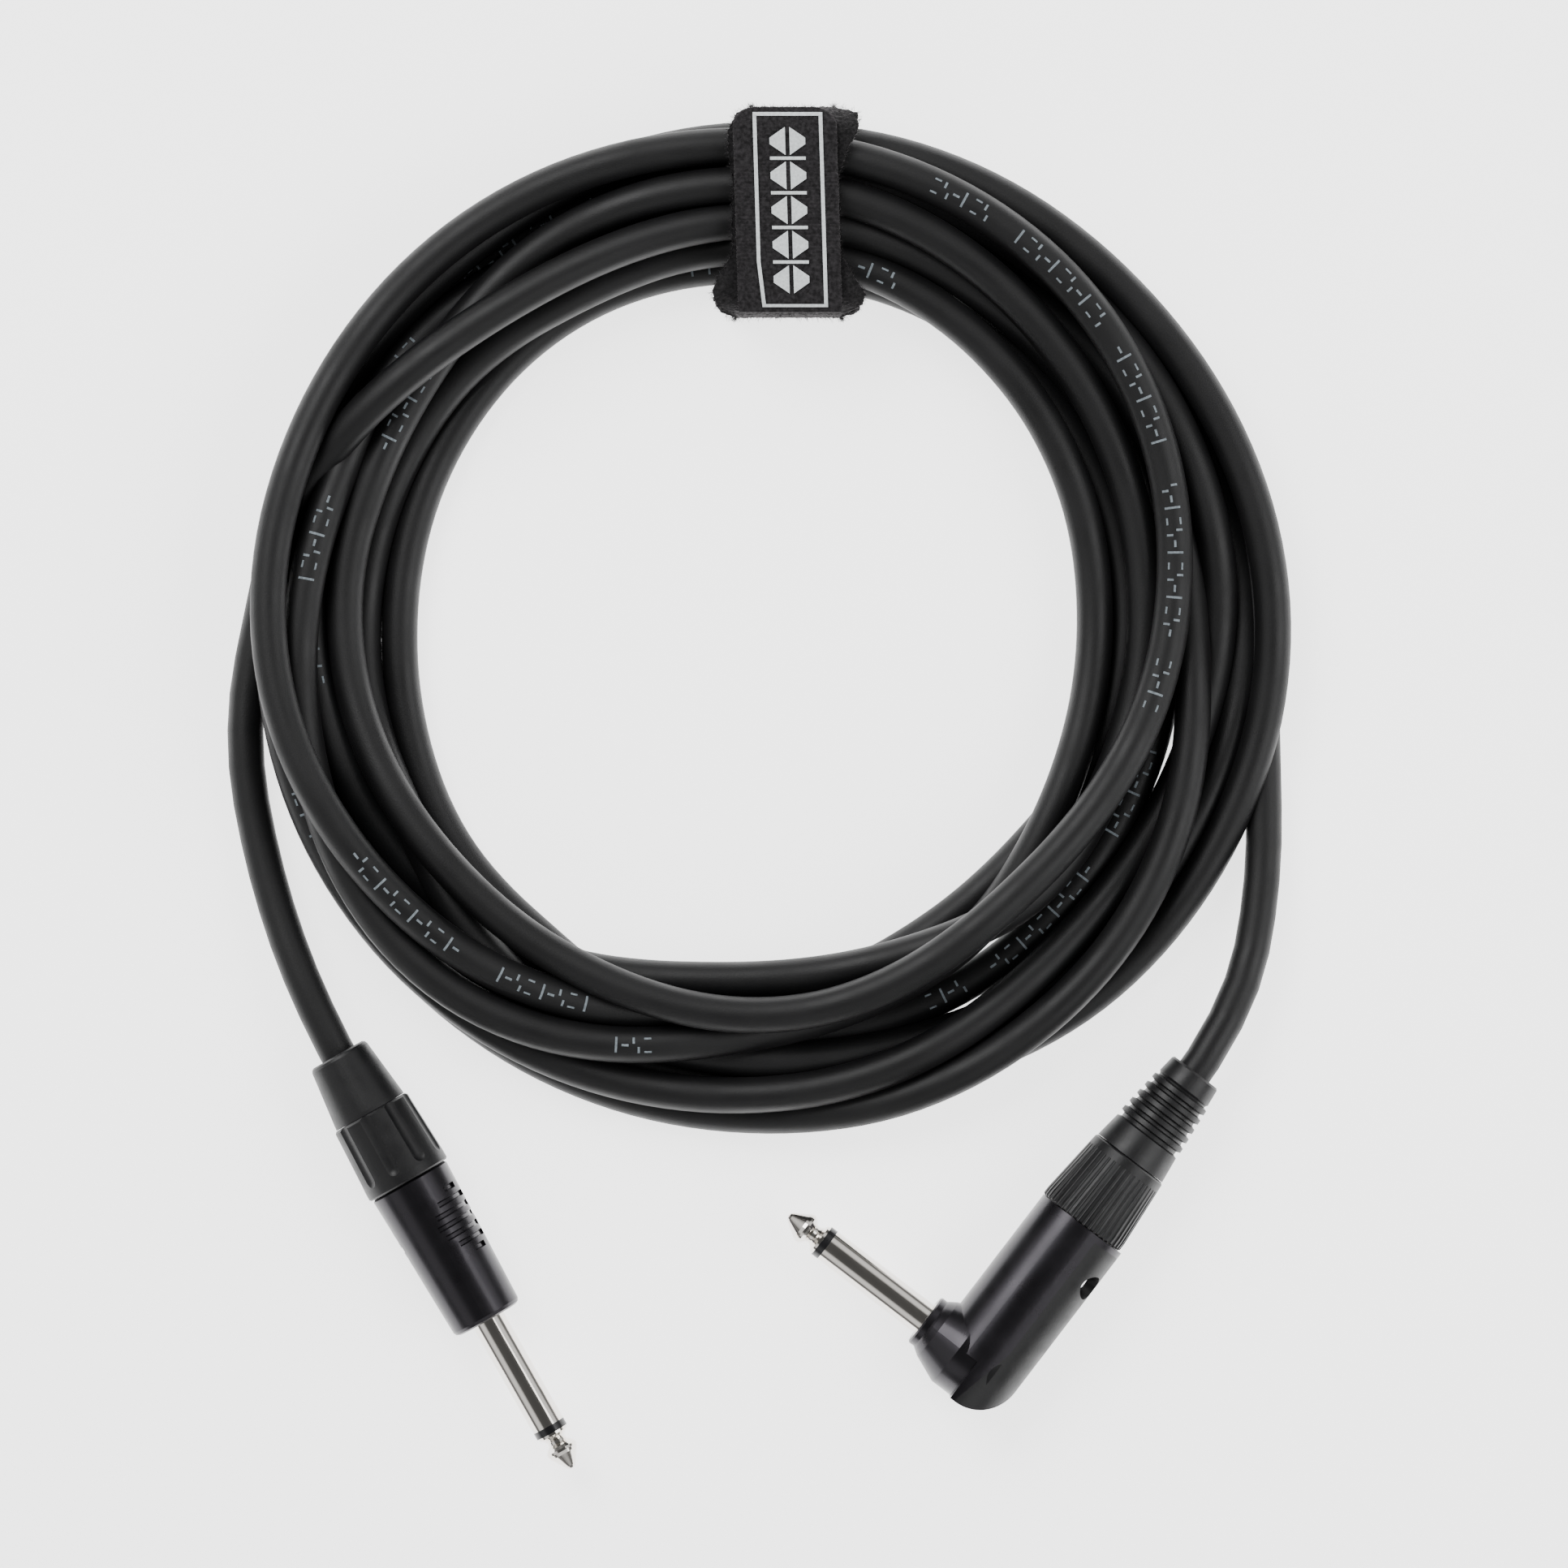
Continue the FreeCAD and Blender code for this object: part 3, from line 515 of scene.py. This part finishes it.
def grid_faces(rows, columns, first=0):
    return [(first + r * columns + c, first + r * columns + c + 1,
             first + (r + 1) * columns + c + 1, first + (r + 1) * columns + c)
            for r in range(rows - 1) for c in range(columns - 1)]


def tab_height(y):
    """The tab's top surface: level over the bundle, and bent down over both of its shoulders."""
    inner = np.maximum(TAB_SHOULDERS[0] - y, 0)
    outer = np.maximum(y - TAB_SHOULDERS[1], 0)
    return TAB_TOP - TAB_BENDS[0] * inner ** 2 - TAB_BENDS[1] * outer ** 2


def tab_lean(y):
    """The tab lies a little askew, its far end to the left."""
    return TIE_X + TAB_SHIFT - TAB_SKEW * (y - TAB_MIDDLE)


def make_tab():
    rows, columns = 300, 108
    ys = np.linspace(TAB_START, TAB_END, rows)
    inset = np.maximum(ys - (TAB_END - TAB_CORNER), 0)
    width = TAB_HALF - TAB_CORNER + np.sqrt(np.maximum(TAB_CORNER ** 2 - inset ** 2, 0))
    frayed = np.random.default_rng(3)
    width = width + frayed.normal(0, TAB_FRAY, rows)
    across = np.linspace(-1, 1, columns)
    x = tab_lean(ys)[:, None] + width[:, None] * across[None]
    y = np.repeat(ys[:, None], columns, 1)
    row_wave = 0.5 + 0.5 * np.sin(2 * np.pi * y / RIB_PITCH)
    nub_wave = 0.5 + 0.5 * np.sin(2 * np.pi * x / NUB_PITCH + np.pi * np.floor(y / RIB_PITCH))
    ribbed = (np.clip((y - RIBS[0]) / RIB_EASE, 0, 1)
              * np.clip((RIBS[1] - y) / RIB_EASE, 0, 1))
    rim = np.clip((1 - np.abs(across)) / RIM_SHARE, 0, 1)[None]
    relief = ribbed * rim * RIB_HEIGHT * row_wave * (0.35 + 0.65 * nub_wave)
    top = tab_height(y) + relief + frayed.normal(0, TAB_UNEVEN, y.shape)
    top -= RIM_DROP * (1 - rim)
    upper = np.stack([x, y, top], 2).reshape(-1, 3)
    lower = np.stack([x, y, tab_height(y) - TAB_THICK], 2).reshape(-1, 3)
    count = rows * columns
    faces = grid_faces(rows, columns)
    faces += [tuple(reversed(face)) for face in grid_faces(rows, columns, count)]
    edge = (list(range(columns)) + [r * columns + columns - 1 for r in range(1, rows)]
            + [(rows - 1) * columns + c for c in range(columns - 2, -1, -1)]
            + [r * columns for r in range(rows - 2, 0, -1)])
    faces += [(a, a + count, b + count, b) for a, b in zip(edge, edge[1:] + edge[:1])]
    tab = new_piece("tie_label", np.concatenate([upper, lower]), faces, MATERIALS["tie_fabric"])
    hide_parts("tie_tab")
    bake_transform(tab)


def add_print(vertices, faces, outline):
    """A printed quadrilateral on the tab, its corners given from the tab's middle line."""
    steps = 9
    (a, b, c, d) = (np.array(corner) for corner in outline)
    first = len(vertices)
    for s in np.linspace(0, 1, steps):
        for t in np.linspace(0, 1, steps):
            u, y = (a * (1 - s) + d * s) * (1 - t) + (b * (1 - s) + c * s) * t
            vertices.append((tab_lean(y) + u, y, tab_height(y) + LABEL_LIFT))
    faces += grid_faces(steps, steps, first)


def bar(x0, y0, x1, y1):
    return [(x0, y0), (x1, y0), (x1, y1), (x0, y1)]


def make_label():
    (left, right), (bottom, top), line = FRAME_SIDES, FRAME_ENDS, FRAME_LINE
    drawn_in = left + FRAME_TUCK
    vertices, faces = [], []
    add_print(vertices, faces, [(drawn_in, bottom), (drawn_in + line, bottom),
                                (left + line, TUCK_END), (left, TUCK_END)])
    for outline in (bar(left, TUCK_END, left + line, top), bar(right - line, bottom, right, top),
                    bar(drawn_in, bottom, right, bottom + line * 0.8),
                    bar(left, top - line, right, top)):
        add_print(vertices, faces, outline)
    for number in range(SHAPES):
        y = SHAPE_START + SHAPE_PITCH * number
        for side in (-1, 1):
            tip, gap = SHAPE_MIDDLE + side * SHAPE_HALF, SHAPE_MIDDLE + side * SHAPE_GAP
            add_print(vertices, faces, [(gap, y - SHAPE_REACH), (tip, y - SHAPE_TIP),
                                        (tip, y + SHAPE_TIP), (gap, y + SHAPE_REACH)])
        if number:
            between = y - SHAPE_PITCH / 2
            add_print(vertices, faces, bar(SHAPE_MIDDLE - SHAPE_HALF, between - BAR_HALF,
                                           SHAPE_MIDDLE + SHAPE_HALF, between + BAR_HALF))
    label = new_piece("tie_print", vertices, faces, LABEL_PRINT)
    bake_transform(label)


# The strap's side edges along Y, across from the part's middle.
STRAP_AT = (0.0879, 0.0890, 0.0915, 0.0950, 0.0990, 0.1130, 0.1180, 0.1220, 0.1255, 0.1269)
STRAP_LEFT = (-0.0052, -0.0082, -0.0096, -0.0086, -0.0060, -0.0058, -0.0066, -0.0066, -0.0052,
              -0.0020)
STRAP_RIGHT = (0.0142, 0.0174, 0.0188, 0.0166, 0.0142, 0.0138, 0.0152, 0.0174, 0.0174, 0.0128)
STRAP_CORNER = 0.0072
EDGE_WANDER = 0.00012               # spread of the strap's side edges
PILE_ROUGH, PILE_DEPTH = 0.00009, 0.00012
ABOVE_FLOOR = 0.00002


def strap_loop(count):
    """Points round the strap's outside, from its lower outer corner, and their normals."""
    near_y, far_y = TIE_LOW[1] + STRAP_CORNER, TIE_HIGH[1] - STRAP_CORNER
    low_z, high_z = STRAP_CORNER, TIE_HIGH[2] - STRAP_CORNER
    path, normals = [], []
    for cy, cz, start in ((far_y, low_z, -90), (far_y, high_z, 0),
                          (near_y, high_z, 90), (near_y, low_z, 180)):
        for angle in np.radians(np.linspace(start, start + 90, 12)):
            path.append((cy + STRAP_CORNER * math.cos(angle), cz + STRAP_CORNER * math.sin(angle)))
            normals.append((math.cos(angle), math.sin(angle)))
    path, normals = np.array(path + path[:1]), np.array(normals + normals[:1])
    along = np.concatenate([[0], np.cumsum(np.linalg.norm(np.diff(path, axis=0), axis=1))])
    at = np.linspace(0, along[-1], count, endpoint=False)
    spots = np.stack([np.interp(at, along, path[:, k]) for k in range(2)], 1)
    ways = np.stack([np.interp(at, along, normals[:, k]) for k in range(2)], 1)
    return spots, ways / np.linalg.norm(ways, axis=1)[:, None]


def make_strap():
    """The loop-faced strap round the bundle, wider where its two ends lie askew on each other."""
    rows, columns = 300, 70
    spots, ways = strap_loop(rows)
    rough = np.random.default_rng(5)
    left = np.interp(spots[:, 0], STRAP_AT, STRAP_LEFT) + rough.normal(0, EDGE_WANDER, rows)
    right = np.interp(spots[:, 0], STRAP_AT, STRAP_RIGHT) + rough.normal(0, EDGE_WANDER, rows)
    x = left[:, None] + (right - left)[:, None] * np.linspace(0, 1, columns)[None]
    pile = rough.normal(0, PILE_ROUGH, x.shape) - PILE_DEPTH
    shells = []
    for depth in (pile, np.full(x.shape, -STRAP)):
        y = spots[:, 0][:, None] + ways[:, 0][:, None] * depth
        z = spots[:, 1][:, None] + ways[:, 1][:, None] * depth
        shells.append(np.stack([x, y, np.maximum(z, ABOVE_FLOOR)], 2).reshape(-1, 3))
    count = rows * columns
    faces = []
    for r in range(rows):
        here, following = r * columns, (r + 1) % rows * columns
        for c in range(columns - 1):
            face = (here + c, following + c, following + c + 1, here + c + 1)
            faces.append(tuple(reversed(face)))
            faces.append(tuple(count + corner for corner in face))
        for c in (0, columns - 1):
            faces.append((here + c, here + c + count, following + c + count, following + c))
    strap = new_piece("tie_loop", np.concatenate(shells), faces, PILE)
    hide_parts("tie_strap")
    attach(strap, "cable")
    return spots, ways, left, right


FIBRES = 2600
FIBRE_LENGTH = (0.0004, 0.0011)
FIBRE_HALF = 0.000035
FUZZ_ABOVE = 0.004                  # no fibres are drawn below this height


def make_fuzz(spots, ways, left, right):
    """Loose fibres along the strap's side edges and over its face, three in five at an edge."""
    pick = np.random.default_rng(11)
    vertices, faces = [], []
    upper = np.nonzero(spots[:, 1] > FUZZ_ABOVE)[0]
    for number in range(FIBRES):
        row = pick.choice(upper)
        share = pick.choice([0.0, 1.0]) if number % 5 < 3 else pick.random()
        root = np.array([left[row] + (right[row] - left[row]) * share, *spots[row]])
        out = np.array([0, *ways[row]])
        lean = pick.normal(0, 1, 3) + (2 * share - 1) * np.array([1.4, 0, 0])
        way = out * 0.9 + 0.6 * lean
        way /= np.linalg.norm(way)
        bend = np.cross(way, pick.normal(0, 1, 3))
        bend /= np.linalg.norm(bend)
        length = pick.uniform(*FIBRE_LENGTH)
        first = len(vertices)
        for step in (0.0, 0.5, 1.0):
            spot = root + way * length * step + bend * length * 0.5 * step * step
            side = np.cross(way, bend) * FIBRE_HALF * (1 - 0.6 * step)
            vertices += [spot - side, spot + side]
        faces += grid_faces(3, 2, first)
    vertices = np.array(vertices)
    vertices[:, 2] = np.maximum(vertices[:, 2], ABOVE_FLOOR)
    fuzz = new_piece("tie_fuzz", vertices, faces, PILE)
    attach(fuzz, "cable")


make_tab()
make_label()
make_fuzz(*make_strap())


# ---- floor and light ------------------------------------------------------------------------
def make_floor():
    half = 3.0
    mesh = bpy.data.meshes.new("floor")
    mesh.from_pydata([(-half, -half, 0), (half, -half, 0), (half, half, 0), (-half, half, 0)], [],
                     [(0, 1, 2, 3)])
    floor = bpy.data.objects.new("floor", mesh)
    floor.location = (0, 0, -0.0001)
    bpy.context.collection.objects.link(floor)
    material, tree, shader = new_material("floor", (0.95, 0.95, 0.95), 0.9)
    shader.inputs["Specular IOR Level"].default_value = 0.1
    shader.inputs["Emission Color"].default_value = (1, 1, 1, 1)
    shader.inputs["Emission Strength"].default_value = 2.4
    mesh.materials.append(material)


# Brightness of the surroundings by height of direction, from the horizon to overhead: pale
# walls, a wide soft ring of light, and a darker ceiling that polished metal shows as a band.
SKY = [(0.50, 0.35), (0.62, 0.12), (0.72, 0.95), (0.86, 0.95), (0.93, 0.10), (1.0, 0.08)]


def make_world():
    world = bpy.data.worlds.new("world")
    world.use_nodes = True
    tree = world.node_tree
    place = tree.nodes.new("ShaderNodeTexCoord")
    parts = tree.nodes.new("ShaderNodeSeparateXYZ")
    height = tree.nodes.new("ShaderNodeMapRange")
    height.inputs["From Min"].default_value = -1.0
    height.inputs["From Max"].default_value = 1.0
    ramp = tree.nodes.new("ShaderNodeValToRGB")
    while len(ramp.color_ramp.elements) < len(SKY):
        ramp.color_ramp.elements.new(0.5)
    for element, (position, level) in zip(ramp.color_ramp.elements, SKY):
        element.position = position
        element.color = (level, level, level, 1.0)
    tree.links.new(place.outputs["Generated"], parts.inputs["Vector"])
    tree.links.new(parts.outputs["Z"], height.inputs["Value"])
    tree.links.new(height.outputs["Result"], ramp.inputs["Fac"])
    tree.links.new(ramp.outputs["Color"], tree.nodes["Background"].inputs["Color"])
    tree.nodes["Background"].inputs["Strength"].default_value = 1.0
    bpy.context.scene.world = world


LIGHTS = [("key", (-0.55, 0.75, 1.1), 0.8, 15.0), ("fill", (0.95, -0.15, 0.9), 0.9, 9.0)]


def make_lights():
    for name, place, size, power in LIGHTS:
        data = bpy.data.lights.new(name, "AREA")
        data.size = size
        data.energy = power
        light = bpy.data.objects.new(name, data)
        light.location = place
        light.rotation_euler = (-Vector(place)).to_track_quat("-Z", "Y").to_euler()
        bpy.context.collection.objects.link(light)


make_floor()
make_world()
make_lights()

bpy.context.view_layer.update()
